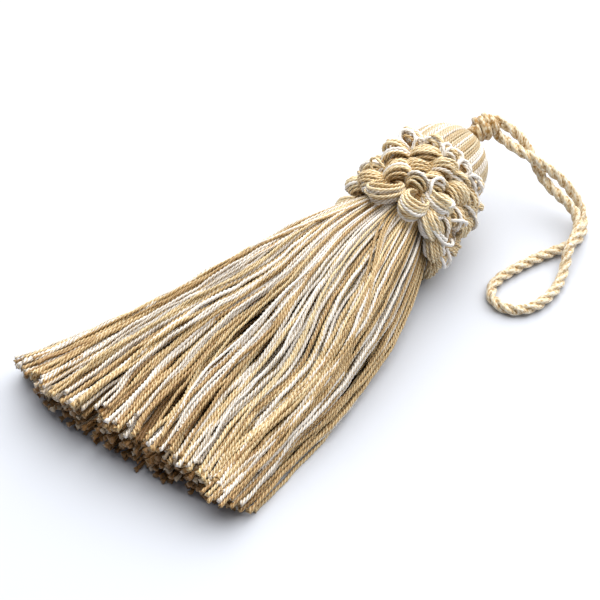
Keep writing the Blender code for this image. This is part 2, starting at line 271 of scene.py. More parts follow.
def rope(line, diameter):
    """A rope's surface along a line: its strands, each laid from finer yarns. Gives the
    vertices, how far along they are, the line with even steps and a painted shade, which is
    darker in the grooves between the yarns."""
    count = round(distances(line)[-1] / ROPE_RING_GAP) + 1
    line = even_line(line, count)
    sides, ups = frames_along(line[None])
    far = np.linspace(0.0, ROPE_RING_GAP * (count - 1), count)
    columns = PLIES * STRAND_COLUMNS
    column = 2 * pi * np.arange(columns) / columns
    within = (np.arange(columns) + STRAND_COLUMNS // 2) % STRAND_COLUMNS / STRAND_COLUMNS - 0.5
    strand_radius = 0.5 / (1 + 1 / sin(pi / PLIES)) * diameter * STRAND_FULLNESS
    out = diameter / 2 - strand_radius
    lean = within * 2 * pi / PLIES
    swell = (out * np.cos(lean) + np.sqrt(np.maximum(strand_radius ** 2
                                                     - (out * np.sin(lean)) ** 2, 0.0)))
    dip = 1 - np.abs(np.sin(pi * (far[:, None] / STRAND_LAY * PLIES
                                  + within * STRAND_SLANT))) ** 0.8
    turn = column + 2 * pi * (far[:, None] / CORD_LAY)
    reach = (swell * (1 - STRAND_GROOVE * dip))[..., None]
    vertices = (line[:, None] + reach * (np.cos(turn)[..., None] * sides[0][:, None]
                                         + np.sin(turn)[..., None] * ups[0][:, None]))
    # The last is painted shade, darker where a strand's yarns dip into their grooves.
    return vertices[None], far[None], line, (0.1 - 0.5 * dip)[None]


# Cotton and viscose spun together: the eye sees pale matt strands, broken up by tan fibres,
# with tan painted shade in the grooves between them.
cord_yarn = yarn_finish("cord_yarn_spun_tan", "#ae8038", "#e6d5b2", "#fdf9f0", fibre_rows=15,
                        along=1.8, ply_light_and_shade=0.12, speckle=1.7)
cord_vertices, cord_far, cord_line, cord_painted_shade = rope(smooth_route(CORD_ROUTE), CORD_DIAMETER)
cord = yarn_mesh("hanging_cord", [(cord_vertices, cord_far, cord_painted_shade)], cord_yarn)
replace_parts(cord, "cord")

# ---- Skirt ----
# Cut yarns of three plies, laid left-handed, gold ones and ivory ones. They are bound at a
# round root inside the ruff, fan out on the table and end in a level cut, a little frayed.
# The sizes and turns down to END_HANDLE are those of the solid skirt.
AXIS_PITCH = radians(11)
AXIS_TURN = radians(6)
RUFF_CENTRE = Vector((3.3, 0.3, 13.4)) * MM
AXIS_FRAME = np.array(Matrix.Translation(RUFF_CENTRE) @ Matrix.Rotation(AXIS_TURN, 4, 'Z')
                      @ Matrix.Rotation(-AXIS_PITCH, 4, 'Y'))
ROOT_RADIUS = 9.6 * MM
ROOT_ROUNDNESS = 0.42
ROOT_PLACE = -9.0 * MM
SKIRT_LENGTHS = (74.0 * MM, 78.0 * MM)  # along the fan's -Y edge and its +Y edge
SKIRT_EDGES = (-25.3 * MM, 38.7 * MM)  # y of those edges at the cut end
SKIRT_HEIGHT = 12.0 * MM
SKIRT_EDGE_HEIGHT = 0.5
SKIRT_TOP_WIDTH = 0.92
SKIRT_FLARE = 0.5
EDGE_TURNS = (radians(-3), radians(22))
START_HANDLE = 0.3
END_HANDLE = 0.36
LOWEST_LAYER = -0.96  # layers go from -1, the lowest at the root, to 1, the highest
YARN_RADIUS = 0.47 * MM
YARN_LAY = -2.9 * MM  # length in which a ply goes once round; left-handed
YARN_COLUMNS = 6  # mesh columns round a yarn
YARN_SLOW_WAVES = (11 * MM, 4.3 * MM)  # lengths over which a spun yarn changes
CLEAR_OF_TABLE = 0.02 * MM
SKIRT_ROWS = 12  # yarns up
SKIRT_COLUMNS = 42  # yarns across
OUTER_PLACE = 0.96
OUTER_LAYER = 0.93
ROW_BUNCHING = 1.25  # rows lie closest at the top
ROW_SHIFT = 0.382  # of a yarn, from row to row, so that none is right above another
PLACE_UNEVEN, LAYER_UNEVEN = 0.012, 0.02
# How the yarns flow: each row names a yarn by its share across the fan, -1 to 1, and gives
# its place across at six even steps from the root to the cut.
SKIRT_FLOW = (
    (-1.00, -1.00, -1.00, -1.00, -1.00, -1.00, -1.00),
    (-0.86, -0.75, -0.80, -0.88, -0.93, -0.89, -0.91),
    (-0.57, -0.40, -0.40, -0.50, -0.70, -0.70, -0.79),
    (-0.28, 0.05, -0.05, -0.23, -0.37, -0.43, -0.60),
    (0.04, 0.35, 0.22, 0.06, 0.03, -0.10, -0.28),
    (0.33, 0.58, 0.42, 0.24, 0.33, 0.30, 0.14),
    (0.55, 0.75, 0.66, 0.48, 0.53, 0.50, 0.38),
    (0.78, 0.90, 0.86, 0.76, 0.76, 0.75, 0.66),
    (1.00, 1.00, 1.00, 1.00, 1.00, 1.00, 1.00),
)
FLOW_STEPS = 60
STRAY_YARNS = 22  # that lie on top of all others
CROSSING_YARNS = 8  # strays that leave the root far from their own places
STRAY_LAYER = 1.03
STRAY_SLANT = 0.16  # most that a stray drifts across the fan over its length
CROSSING_SHIFT = (0.3, 0.65)  # of the crossing ones at the root
# Drift of the yarns, across the fan and up it. Waves that neighbours share: size, waves
# across the fan and along it. Waves of each yarn by itself: size, waves along it.
SHARED_DRIFT_ACROSS = ((0.012, 1.5, 1.1), (0.006, 3.6, 1.9), (0.004, 6.5, 2.6), (0.002, 9.0, 3.7))
OWN_DRIFT_ACROSS = ((0.016, 0.6), (0.007, 1.5), (0.003, 3.1))
SHARED_DRIFT_UP = ((0.04, 2.2, 1.3), (0.03, 5.0, 1.7), (0.02, 8.0, 2.9))
OWN_DRIFT_UP = ((0.05, 0.6), (0.03, 1.6))
LAYER_SHIFT = 2.6  # of the shared waves from the top to the middle, so that gaps don't align
END_SPLAY = (0.019, 0.07)  # of the last quarter, across and up
YARN_SWAY = ((0.05, 6), (0.08, 11), (0.16, 23))  # size and length of small bends, mm
# Where the upper yarns part and show the deeper ones: from and to along, and the places
# across there, and by how much.
PARTINGS = ((0.46, 0.72, 0.04, -0.07, 0.045), (0.60, 0.84, -0.05, -0.20, 0.040),
            (0.74, 1.06, -0.13, -0.28, 0.060), (0.82, 1.10, 0.20, 0.12, 0.05))
PARTING_REACH = 0.09  # how far from its middle a parting pushes the yarns, across the fan
# How far past the fan's length its lower and its upper yarns are cut, in mm, at places
# across the fan.
CUT_OUTLINE = ((-1.0, -0.75, -0.45, -0.15, 0.15, 0.45, 0.75, 1.0),
               (-1.0, -0.6, 0.8, 2.2, 3.0, 3.2, 2.2, 1.4),
               (0.8, -1.0, -0.8, 0.2, 1.6, 3.2, 2.6, 1.8))
CUT_UNEVEN = 0.9  # mm, of each yarn by itself
CUT_LIMITS = (-2.4, 1.6)  # mm
EARLY_CUTS = (1.0, 6.5)  # mm, by which some upper yarns end early
EARLY_LAYER, EARLY_PLACE, EARLY_REACH = 0.6, -0.4, 0.32  # where those are
EARLY_SHARE = 0.4  # of the yarns there
FRAY_SPREAD = (1.6, 1.12)  # how far the valleys and the crests of the plies open at the cut
FRAY_RAGGED = 0.3 * MM
CUT_SWELL = 0.3  # how much thicker a yarn is there, over its last millimetre
BOUND_THINNESS = 0.66  # of a yarn at the root, where it is pressed
BOUND_LENGTH = 42 * MM  # from there on it has its whole thickness
YARN_THICKNESSES = (0.88, 1.1)
STRAY_THINNESS = 0.8
YARN_SHADES = (-0.26, 0.27)
# Painted shade in the skirt's colour: on the lower yarns, which lie under the upper ones, on every
# yarn near its end, where it bends down to the cut, and on the lower yarns' cut ends.
LOWER_PAINTED_SHADE = -0.2  # of the lower yarns
END_PAINTED_SHADE, END_PAINTED_SHADE_LENGTH = -0.14, 16.0 * MM  # of each yarn's end
CUT_PAINTED_SHADE, CUT_PAINTED_SHADE_LENGTH = -0.6, 4.0 * MM  # of the lower yarns' ends
# Layers and places that are seen have yarns with fine rings. The others have few, apart from
# their cut ends, which show.
SEEN_LAYER, SEEN_SIDE, TOP_LAYER = 0.48, 0.86, 0.78
SEEN_SHARES = np.linspace(0, 1, 172)
HIDDEN_SHARES = np.concatenate([np.linspace(0, 0.7, 8)[:-1], np.linspace(0.7, 1.0, 24)])
# Runs of ivory yarns in the fan's upper side, by their names; all below are mixed.
IVORY_LAYER = 0.79
IVORY_CHANCES = (0.6, 0.16)  # below: under a run, and elsewhere
IVORY_RUNS = ((-0.92, -0.87), (-0.79, -0.76), (-0.69, -0.64), (-0.57, -0.53), (-0.46, -0.39),
              (-0.32, -0.26), (-0.20, -0.12), (-0.07, -0.04), (0.09, 0.12), (0.20, 0.24),
              (0.32, 0.37), (0.43, 0.47), (0.52, 0.57), (0.62, 0.67), (0.72, 0.78), (0.83, 0.87),
              (0.91, 0.96))


chance = np.random.default_rng(5)  # one seeded source for all that is uneven


def give_or_take(size, shape=None):
    """A chance amount, up to this size either way."""
    return chance.uniform(-size, size, shape)


def laid_yarns(lines, radius, lay, groove=0.56, uneven=0.07):
    """Vertices of yarns laid from plies along the lines: (yarn, ring, column, xyz).
    A negative lay is left-handed. radius is one number or one for each yarn and ring, and
    groove is the radius between two plies as a share of it. Spun yarn is uneven: its
    thickness and its twist change slowly along it."""
    sides, ups = frames_along(lines)
    steps = np.linalg.norm(np.diff(lines, axis=1), axis=2)
    far = np.concatenate([np.zeros((len(lines), 1)), np.cumsum(steps, axis=1)], 1)
    start = chance.uniform(0, 1, (3, len(lines), 1))
    slow = sum(np.sin(2 * pi * (far / length + start[k + 1]))
               for k, length in enumerate(YARN_SLOW_WAVES))
    column = 2 * pi * np.arange(YARN_COLUMNS) / YARN_COLUMNS
    swell = groove + (1 - groove) * np.abs(np.cos(PLIES * column / 2)) ** 1.3
    turn = column + 2 * pi * (far / lay + start[0] + 0.5 * uneven * slow)[..., None]
    reach = (np.broadcast_to(radius, far.shape) * (1 + 0.6 * uneven * slow))[..., None] * swell
    reach = reach[..., None]
    return (lines[:, :, None] + reach * (np.cos(turn)[..., None] * sides[:, :, None]
                                         + np.sin(turn)[..., None] * ups[:, :, None])), far


def keep_above(points, height):
    """Moves up to this height what is lower."""
    points[..., 2] = np.maximum(points[..., 2], height)


def on_axis(points):
    """Points held as along the tassel to its head, across and up, placed in the frame."""
    return points @ AXIS_FRAME[:3, :3].T + AXIS_FRAME[:3, 3]


def between(ends, share):
    """The value at this share of the way from the first end to the second."""
    return ends[0] + (ends[1] - ends[0]) * share


def smooth_rise(values, start, end):
    """0 up to start and 1 from end on, with an even slope between."""
    t = np.clip((values - start) / (end - start), 0.0, 1.0)
    return t * t * (3 - 2 * t)


def skirt_lines(u, v, t):
    """Points on the fan's yarns: u across and v up at the root, t along, all (yarn, ring)."""
    across = u * np.sqrt(1 - ROOT_ROUNDNESS * v * v) * ROOT_RADIUS
    up = v * np.sqrt(1 - ROOT_ROUNDNESS * u * u) * ROOT_RADIUS
    root = on_axis(np.stack([np.full_like(u, ROOT_PLACE), across, up], -1))
    length = between(SKIRT_LENGTHS, (u + 1) / 2)
    rise = np.maximum(0.0, (v - LOWEST_LAYER) / (1 - LOWEST_LAYER))
    half_width = (SKIRT_EDGES[1] - SKIRT_EDGES[0]) / 2
    y = SKIRT_EDGES[0] + half_width * (1 + u * between((1.0, SKIRT_TOP_WIDTH), rise ** 2))
    z = SKIRT_HEIGHT * between((1.0, SKIRT_EDGE_HEIGHT), np.abs(u) ** 2.2) * rise
    reach = np.sqrt(length ** 2 - (y - root[..., 1]) ** 2 - (z - root[..., 2]) ** 2)
    end = np.stack([root[..., 0] - reach, y, z], -1)
    centre = on_axis(np.array([ROOT_PLACE, 0.0, 0.0]))
    start_turn = (root - centre) * SKIRT_FLARE / ROOT_RADIUS - AXIS_FRAME[:3, 0]
    turn = between(EDGE_TURNS, (u + 1) / 2)
    start_handle = root + start_turn * (length * START_HANDLE)[..., None]
    start_handle[..., 2] = np.maximum(start_handle[..., 2], end[..., 2])
    end_turn = np.stack([np.cos(turn), -np.sin(turn), np.zeros_like(turn)], -1)
    end_handle = end + end_turn * (length * END_HANDLE)[..., None]
    t = t[..., None]
    return ((1 - t) ** 3 * root + 3 * (1 - t) ** 2 * t * start_handle
            + 3 * (1 - t) * t ** 2 * end_handle + t ** 3 * end)


skirt_flow = np.array(SKIRT_FLOW)
flow_rows = []
for row in skirt_flow[:, 1:]:
    smooth = smooth_route(np.stack([np.linspace(0, 1, len(row)), row], 1) / MM)
    flow_rows.append(np.interp(np.linspace(0, 1, FLOW_STEPS + 1), smooth[:, 0], smooth[:, 1]))
flow_rows = np.array(flow_rows)


def flow(q, t):
    """Place across the fan at t of the yarns named q, both (yarn, ring)."""
    step = np.clip(t, 0, 1) * FLOW_STEPS
    low = np.clip(step.astype(int), 0, FLOW_STEPS - 1)
    result = np.empty_like(t)
    for ring in range(t.shape[1]):
        k, part = low[0, ring], step[0, ring] - low[0, ring]
        column = flow_rows[:, k] * (1 - part) + flow_rows[:, k + 1] * part
        result[:, ring] = np.interp(q[:, ring], skirt_flow[:, 0], column)
    return result


# Each yarn is named by its place across the fan and its layer, u and v, both -1 to 1.
skirt_u, skirt_v = [], []
for row in range(SKIRT_ROWS):
    height = OUTER_LAYER - 2 * OUTER_LAYER * (row / (SKIRT_ROWS - 1)) ** ROW_BUNCHING
    shift = (row * ROW_SHIFT) % 1.0 - 0.5
    places = (np.arange(SKIRT_COLUMNS) + 0.5 + 0.6 * shift) / SKIRT_COLUMNS * 2 - 1
    skirt_u.append(places * OUTER_PLACE)
    skirt_v.append(np.full(SKIRT_COLUMNS, height))
skirt_u.append(give_or_take(0.95, STRAY_YARNS))
skirt_u.append(np.tile((-0.97, 0.95), CROSSING_YARNS // 2)
               * chance.uniform(0.88, 1.0, CROSSING_YARNS))
skirt_v.append(np.full(STRAY_YARNS + CROSSING_YARNS, STRAY_LAYER))
skirt_u, skirt_v = np.concatenate(skirt_u), np.concatenate(skirt_v)
count = len(skirt_u)
stray = skirt_v > 1.0
skirt_u = skirt_u + give_or_take(PLACE_UNEVEN, count)
skirt_v = skirt_v + give_or_take(LAYER_UNEVEN, count)

LINE_STEPS = 90
t = np.broadcast_to(np.linspace(-0.04, 1.0, LINE_STEPS), (count, LINE_STEPS))
grown = smooth_rise(t, 0.05, 0.7)
name_u = skirt_u[:, None]
layer = skirt_v[:, None]
strays = stray[:, None]


def waves(table):
    """Waves that neighbouring yarns share."""
    return sum(size * np.sin(2 * pi * (across * name_u + along * t + LAYER_SHIFT * layer)
                             + chance.uniform(0, 2 * pi)) for size, across, along in table)


def own_waves(table):
    """Waves of each yarn by itself."""
    return sum(chance.normal(0, size, (count, 1)) * np.sin(
        2 * pi * (t * along + chance.uniform(0, 1, (count, 1)))) for size, along in table)


drift_u = waves(SHARED_DRIFT_ACROSS) + own_waves(OWN_DRIFT_ACROSS)
drift_v = waves(SHARED_DRIFT_UP) + own_waves(OWN_DRIFT_UP)
splay = smooth_rise(t, 0.72, 1.0)
drift_u = drift_u * grown + splay * chance.normal(0, END_SPLAY[0], (count, 1))
drift_u = drift_u + strays * (t - 0.4) * give_or_take(STRAY_SLANT, (count, 1))
drift_v = drift_v * grown * ~strays + splay * chance.normal(0, END_SPLAY[1], (count, 1))
crossing = np.arange(count)[:, None] >= count - CROSSING_YARNS
drift_u = drift_u - crossing * np.sign(name_u) * chance.uniform(*CROSSING_SHIFT, (count, 1)) * (
    1 - smooth_rise(t, 0.0, 0.4))
# The upper yarns follow the flow in full and part, and the lowest ones keep to their places.
upper = smooth_rise(layer, -0.5, 0.8)
u = name_u + (flow(np.broadcast_to(name_u, t.shape), t) - name_u) * between((0.4, 1.0), upper)
u = np.clip(u + drift_u, -1.0, 1.0) * between((1.0, 0.968), upper)
for start, end, place, end_place, wide in PARTINGS:
    share = np.clip((t - start) / (end - start), 0, 1)
    off = u - between((place, end_place), share)
    side = np.sign(off[:, [int(LINE_STEPS * min((start + end) / 2, 0.98))]])
    u = u + wide * np.sin(pi * share) * side * np.exp(-(off / PARTING_REACH) ** 2) * \
        smooth_rise(layer, -0.6, 0.2) * ~strays
v = np.clip(layer + drift_v, -0.97, 1.05)
v = np.where(strays, v, np.minimum(v, 0.99))
rough = skirt_lines(u, v, t)

# The cut: a yarn ends a little before or past its outline, which is nearly level.
cut_more = np.clip(chance.normal(0.0, CUT_UNEVEN, count), *CUT_LIMITS) * MM
cut_more += between([np.interp(u[:, -1], CUT_OUTLINE[0], row) for row in CUT_OUTLINE[1:]],
                    (skirt_v + 1) / 2) * MM
early = (skirt_v > EARLY_LAYER) & (np.abs(u[:, -1] - EARLY_PLACE) < EARLY_REACH) & (
    chance.random(count) < EARLY_SHARE)
cut_more -= early * chance.uniform(*EARLY_CUTS, count) * MM
cut_more[stray & (skirt_u < -0.6)] += 3.5 * MM  # those at the far edge stand out


def yarns_of(chosen, shares):
    """The lines of the chosen yarns, with their rings at these shares of the length."""
    lines, fars = [], []
    for k in np.flatnonzero(chosen):
        line = rough[k]
        line = np.vstack([line, line[-1] + unit(line[-1] - line[-4]) * 10 * MM])
        far = distances(line)
        goal = shares * (far[-2] + cut_more[k])
        lines.append(points_at(line, far, goal))
        fars.append(goal)
    return np.array(lines), np.array(fars)


ivory = np.zeros(count, bool)
for k in range(count):
    in_run = any(low <= skirt_u[k] <= high for low, high in IVORY_RUNS)
    if k >= count - CROSSING_YARNS:
        ivory[k] = k % 3 == 0
    elif skirt_v[k] > IVORY_LAYER:
        ivory[k] = in_run
    else:
        likely = IVORY_CHANCES[0] if in_run else IVORY_CHANCES[1]
        ivory[k] = chance.random() < likely * (1.0 if skirt_v[k] > 0 else 0.5)

# Plied viscose, the silkiest yarn here: warm gold, with a painted highlight on its plies and
# brown painted shade between them, besides its own sheen.
gold_yarn = yarn_finish("skirt_yarn_gold_viscose", "#8e6636", "#cfaf78", "#f2e3be",
                        ply_light_and_shade=0.26, speckle=1.05, roughness=0.4)
# Plied cotton, not bleached quite white: nearly even and dull, so it reads as pale lines.
ivory_yarn = yarn_finish("skirt_yarn_ivory_cotton", "#b8a58a", "#f1eae0", "#fdf9f4",
                         roughness=0.6)


def skirt_piece(name, chosen, shares, material):
    """One piece of the fan: its yarns bend a little, and fray where they are cut."""
    lines, far = yarns_of(chosen, shares)
    picked = np.flatnonzero(chosen)
    side = unit(np.stack([lines[:, 0, 1] - lines[:, -1, 1], lines[:, -1, 0] - lines[:, 0, 0],
                          np.zeros(len(picked))], 1))
    sway = np.zeros_like(far)
    lift = np.zeros_like(far)
    for size, length in YARN_SWAY:
        phase = chance.uniform(0, 2 * pi, (2, len(picked), 1))
        sway += size * MM * np.sin(2 * pi * far / (length * MM) + phase[0])
        lift += size * MM * np.sin(2 * pi * far / (length * MM) + phase[1])
    ramp = smooth_rise(far, 3 * MM, 30 * MM)
    lines = lines + side[:, None] * (sway * ramp)[..., None]
    lines[..., 2] += lift * ramp
    keep_above(lines, YARN_RADIUS * 1.02)
    end = far[:, -1:] - far
    radius = YARN_RADIUS * between((BOUND_THINNESS, 1.0), smooth_rise(far, 0, BOUND_LENGTH))
    radius = radius * chance.uniform(*YARN_THICKNESSES, (len(picked), 1)) * np.where(
        stray[picked], STRAY_THINNESS, 1.0)[:, None]
    radius = radius * (1 + CUT_SWELL * np.exp(-(end / (1.0 * MM)) ** 2))
    vertices, far = laid_yarns(lines, radius, YARN_LAY * (1.0 if shares is SEEN_SHARES else 1.8))
    # The cut end frays: its three plies open, and end at slightly different places.
    ahead = unit(lines[:, -1] - lines[:, -2])
    valley_spread, crest_spread = FRAY_SPREAD
    open_by = np.where(np.arange(YARN_COLUMNS) % 2 == 0, crest_spread, valley_spread)
    vertices[:, -1] = lines[:, -1, None] + (vertices[:, -1] - lines[:, -1, None]) * \
        open_by[:, None]
    ragged = give_or_take(FRAY_RAGGED, (len(picked), YARN_COLUMNS))
    vertices[:, -1] += ahead[:, None] * ragged[..., None]
    keep_above(vertices, CLEAR_OF_TABLE)
    # Painted shade: the lower yarns, which lie under the upper ones, are drawn darker, most of all
    # at their cut ends, and every yarn is drawn darker near its end, where it bends down to the
    # cut.
    low = (1 - smooth_rise(skirt_v[picked], 0.35, 0.95))[:, None]
    low *= 1 - smooth_rise(np.abs(skirt_u[picked]), 0.7, 0.9)[:, None]  # not at the sides
    shade = chance.uniform(*YARN_SHADES, (len(picked), 1)) + LOWER_PAINTED_SHADE * low \
        + END_PAINTED_SHADE * np.exp(-(end / END_PAINTED_SHADE_LENGTH) ** 2) \
        + CUT_PAINTED_SHADE * low * np.exp(-(end / CUT_PAINTED_SHADE_LENGTH) ** 2)
    piece = yarn_mesh(name, [(vertices, far, shade)], material)
    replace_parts(piece, "skirt")


seen = (skirt_v > SEEN_LAYER) | (np.abs(skirt_u) > SEEN_SIDE)
top = skirt_v > TOP_LAYER
for colour, coloured, finish in (("gold", ~ivory, gold_yarn), ("ivory", ivory, ivory_yarn)):
    skirt_piece(f"skirt_yarns_{colour}_top", seen & top & coloured, SEEN_SHARES, finish)
    skirt_piece(f"skirt_yarns_{colour}_under", seen & ~top & coloured, SEEN_SHARES, finish)
    skirt_piece(f"skirt_yarns_{colour}_inner", ~seen & coloured, HIDDEN_SHARES, finish)

# ---- Ruff ----
# Looped bundles of gold and ivory yarn, sewn round the head in staggered rows. Each bundle
# rises from its base, goes round in a ring and comes back, so its middle is a dark hollow.
# Those at the skirt droop over it.
RUFF_LENGTH = 19.8 * MM
RUFF_MID_RADIUS = 13.3 * MM
RUFF_RIM_RADII = (11.8 * MM, 11.0 * MM)  # at the skirt and at the head
RUFF_YARN_RADIUS = 0.38 * MM
RUFF_IVORY_RADIUS = RUFF_YARN_RADIUS * 1.15  # cotton is fluffier than viscose
RUFF_YARN_GAP = 0.68 * MM  # between neighbours in a bundle
RUFF_YARN_LAY = -3.0 * MM
RING_GAP = 0.48 * MM  # between mesh rings; the twist needs it so close
# The loops of the showing side: mm along the tassel to its head, degrees round it, degrees
# that the loop is tipped towards the head, degrees of turn, ring radius in mm, how much
# lower its edge yarns stand than its middle ones, and the colours of the yarns side by side
# from the skirt to the head, g for gold and i for ivory. Where they differ from 1 and 2:
# how tall the ring is for its width, and how many smaller rings lie in its hollow.
SHOWING_LOOPS = (
    (-6.0, 38, -30, 10, 2.2, 0.35, "ggiggg"),  # row at the skirt
    (-5.4, 61, -12, 12, 3.0, 0.40, "iggggggg"),
    (-5.2, 84, -62, 18, 3.4, 0.20, "iiggigg", 1.0, 1),
    (-4.7, 115, -64, 5, 3.0, 0.18, "igggiggg", 1.15, 0),
    (-5.8, 147, -50, -12, 3.1, 0.25, "iiggggg"),
    (-6.6, 174, -45, 5, 3.0, 0.30, "igggggi"),
    (-1.6, 49, 2, 20, 2.5, 0.38, "ggiigg"),  # second row
    (-3.6, 83, 12, 32, 3.1, 0.26, "gggiggg"),
    (-2.8, 107, 14, 8, 2.4, 0.26, "ggiggg", 1.1, 0),
    (-1.8, 129, -42, 12, 2.6, 0.22, "iigiiggg", 1.0, 0),
    (-5.0, 160, 8, -15, 2.9, 0.30, "ggigggg"),
    (0.4, 121, 8, 18, 2.5, 0.30, "gigggg"),
    (-2.4, 141, -8, -12, 2.6, 0.40, "ggigggg"),
    (-1.0, 158, 6, -15, 2.5, 0.40, "giggi"),
    (1.0, 71, 2, 34, 3.0, 0.34, "ggiiigg"),  # third row
    (0.8, 97, 6, 28, 2.9, 0.30, "igggggg"),
    (3.9, 118, 16, 10, 2.8, 0.30, "iggggg", 1.15, 0),
    (2.4, 145, 0, -18, 2.8, 0.42, "ggggggg"),
    (-0.2, 176, 0, 0, 2.6, 0.40, "gigggg"),
    (4.4, 57, 2, 22, 2.7, 0.40, "gggigg"),  # fourth row
    (4.8, 92, 4, 24, 3.2, 0.38, "gggggggg"),
    (4.8, 134, 8, -5, 2.3, 0.35, "iggg"),
    (5.4, 160, 4, -12, 2.5, 0.40, "gggig"),
    (4.8, 177, 0, 10, 2.4, 0.40, "giggi"),
    (8.3, 66, 10, 14, 2.5, 0.35, "gigii"),  # row at the head
    (8.4, 92, 18, -4, 2.1, 0.32, "gggi"),
    (7.6, 112, 20, 10, 1.9, 0.30, "iggi"),
    (7.6, 131, 15, -10, 1.8, 0.20, "iig"),
    (7.4, 149, 15, -15, 2.2, 0.35, "iigi"),
    (8.2, 167, 15, 10, 2.1, 0.35, "iggg"),
)
# Single yarns that have come up out of the loops: colour, how far they stand above the
# ruff's body in mm, and their places, mm along and degrees round.
RUFF_STRANDS = (
    ("ivory", 1.5, ((-8.4, 128), (-9.2, 140), (-9.0, 152), (-8.4, 163), (-6.6, 172), (-4.6, 177))),
    ("ivory", 1.3, ((-7.6, 129), (-8.4, 141), (-8.2, 152), (-7.7, 162), (-6.0, 170))),
    ("ivory", 1.2, ((-9.0, 176), (-9.2, 186), (-7.6, 204), (-6.4, 198), (-5.9, 186))),
    ("ivory", 0.9, ((6.3, 83), (8.0, 86), (8.9, 92), (8.4, 101), (7.2, 107), (5.6, 109))),
    ("ivory", 1.8, ((-4.4, 125), (-3.0, 119), (-1.2, 117), (0.4, 121), (1.0, 128))),
    ("ivory", 1.8, ((-4.4, 127), (-4.4, 134), (-3.4, 140), (-1.8, 143), (-0.5, 141))),
    ("ivory", 1.6, ((-3.5, 126), (-3.4, 132), (-2.6, 137), (-1.2, 139))),
    ("ivory", 1.2, ((6.6, 110), (8.4, 110), (9.6, 116), (9.3, 124), (6.9, 125))),
    ("ivory", 1.3, ((5.4, 131), (6.6, 125), (8.2, 126), (8.7, 132), (7.4, 138), (5.4, 136))),
    ("ivory", 1.2, ((5.2, 137), (7.4, 142), (9.2, 155), (9.2, 167))),
    ("gold", 1.5, ((-3.4, 54), (-2.1, 54), (-1.9, 61), (-2.7, 69))),
    ("ivory", 1.3, ((6.4, 105), (8.6, 104), (9.4, 109), (8.2, 114))),
    ("ivory", 1.3, ((-3.1, 157), (-1.6, 162), (-0.6, 169), (-0.8, 176))),
    ("ivory", 1.4, ((6.0, 58), (8.4, 56), (9.0, 66), (7.6, 74))),
    ("ivory", 1.4, ((4.2, 80), (6.4, 81), (8.0, 88))),
)
# Rows of the other side: mm along, loops in a whole turn, degrees that they tip to the head.
HIDDEN_ROWS = ((-6.4, 15, -48), (-3.0, 15, 12), (1.0, 15, 10), (4.8, 15, 8), (8.2, 15, 20))
SHOWING_FROM, SHOWING_TO = 27, 188  # degrees round the tassel
PRESSED_FROM, PRESSED_TO = 145, 178  # where the table presses the loops flat
DROOPING_LEAN = -55  # loops at the skirt that tip more than this lie still
INNER_RINGS = (0.62, 0.32)  # of a loop's size
INNER_RISE = 0.35  # how far they rise in it, as a share of what they are smaller
INNER_BACK = 0.6 * MM  # each lies deeper in its hollow
# Inner rings are painted darker: painted shade deep in a bundle's hollow.
INNER_PAINTED_SHADE = -0.2  # and darker
INNER_IVORY = 0.12  # share of their yarns
HIDDEN_COARSER = 1.2  # mesh rings of what hardly shows lie this much wider apart
LOOP_STANDS = 1.4 * MM  # how far a crest stands above the ruff's body
HIDDEN_STANDS = 0.9 * MM
PRESSED_STANDS = 0.2 * MM
FILLER_LOOPS = 90  # small low loops all over, between the others
FILLER_STANDS = -0.9 * MM
# Filler loops are painted darker: painted shade in the creases between the bundles.
FILLER_PAINTED_SHADE = -0.3
LOOP_ENDS = radians(166)  # a ring starts and stops this far from its crest
LOOP_RUN = 5.6  # length of a ring's yarn, in ring radii
LOOP_SQUASH = (0.86, 1.05)
LOOP_SKEW = 0.26
LOOP_TWIST = (-0.6, 0.9)  # mm, of its ends from its crest
LOOP_PINCH = 0.68  # how far its yarns come together at its ends
LOOSE_SHARE = 0.12  # of the yarns stand out by as much of their ring
STRAND_ENDS_DIP = 1.8  # mm, by which a single yarn's ends go in


def ruff_radius(along):
    """Radius of the ruff's body at a place along the axis, without its loops."""
    sweep = np.arccos(np.clip(-along / (RUFF_LENGTH / 2), -1, 1))
    rim = np.where(sweep < pi / 2, *RUFF_RIM_RADII)
    return between((rim, RUFF_MID_RADIUS), np.sin(sweep) ** 0.8)


def round_axis(along, radius, turn):
    """Points at these places along the axis, at this radius and turn round it."""
    return np.stack([np.broadcast_to(along, np.shape(turn)), radius * np.cos(turn),
                     radius * np.sin(turn)], -1)


